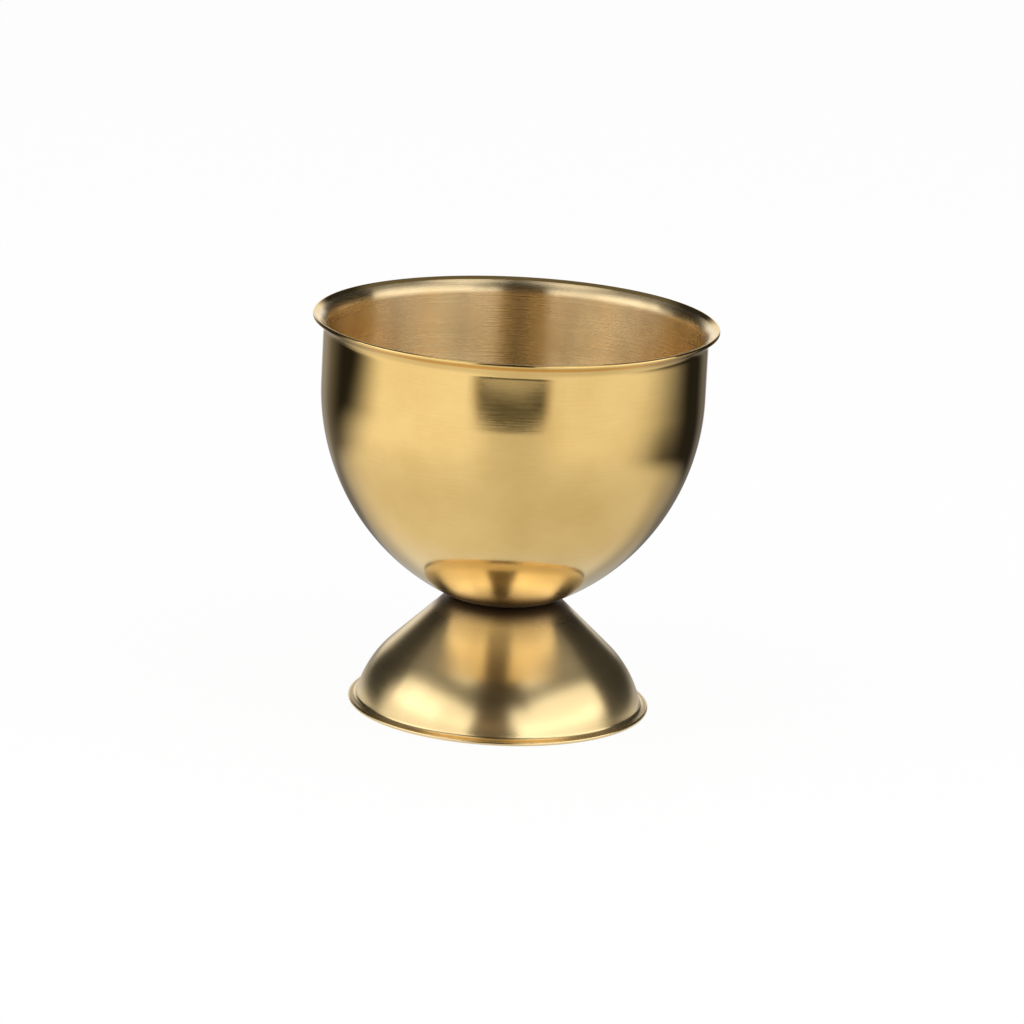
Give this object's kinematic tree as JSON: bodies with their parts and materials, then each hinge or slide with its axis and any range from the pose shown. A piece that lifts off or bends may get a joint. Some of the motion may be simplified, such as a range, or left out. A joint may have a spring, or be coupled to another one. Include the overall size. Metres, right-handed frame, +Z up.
{
  "type": "egg cup",
  "caption": "Gold-coloured sheet steel egg cup: a round-bottomed bowl with a turned-out lip, spot-welded to a hollow bell-shaped foot with a flat rim.",
  "frame": {"origin": "centre of the foot's rim, in the plane that it stands on", "axes": "+Z up along the axis that both pressings are turned about, from the table towards the lip; +X and +Y are any two square directions across it, with the first spot weld on +X"},
  "size_m": [0.0514, 0.0514, 0.0504],
  "materials": {
    "gold_steel": "satin, with fine turned lines round the axis and a gold-coloured coating",
    "weld_steel": "bare fused steel, closed in between the two sheets"
  },
  "bodies": {
    "root": {"bowl": "gold_steel", "foot": "gold_steel", "spot_welds": "weld_steel"}
  },
  "joints": []
}
